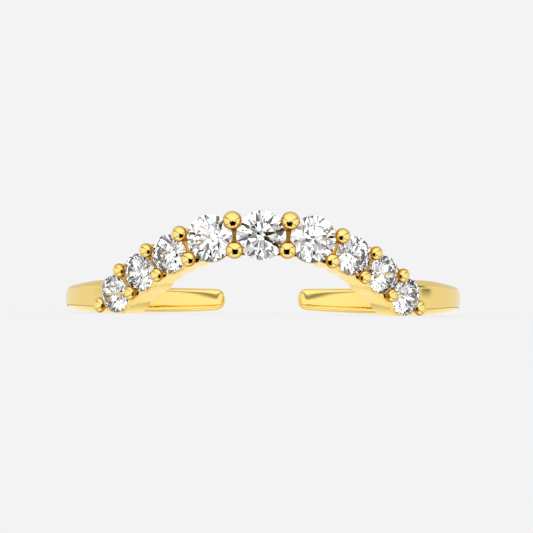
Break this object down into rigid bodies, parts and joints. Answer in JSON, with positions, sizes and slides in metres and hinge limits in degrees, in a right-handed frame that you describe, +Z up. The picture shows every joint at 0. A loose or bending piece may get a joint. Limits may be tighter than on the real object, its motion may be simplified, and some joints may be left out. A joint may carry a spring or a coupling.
{
  "type": "crown ring",
  "caption": "Slim finger ring whose front rises into an arched row of round cut stones held by shared beads, with a plain band left open at the back.",
  "frame": {"origin": "on the surface that the ring lies on, under the middle of the ring's bounding box; the finger axis is vertical and passes 0.64 mm behind the origin", "axes": "+Z up along the finger axis, -Y towards the front, where the arched row of stones faces, +Y towards the open back, and +X to the right as seen from the front"},
  "size_m": [0.0198, 0.0204, 0.005],
  "materials": {
    "gold": "mirror-polished yellow gold",
    "crystal": "clear colourless faceted stone"
  },
  "bodies": {
    "root": {"band_with_setting": "gold", "stone_1": "crystal", "stone_2": "crystal", "stone_3": "crystal", "stone_4": "crystal", "stone_5": "crystal", "stone_6": "crystal", "stone_7": "crystal", "stone_8": "crystal", "stone_9": "crystal"}
  },
  "joints": []
}
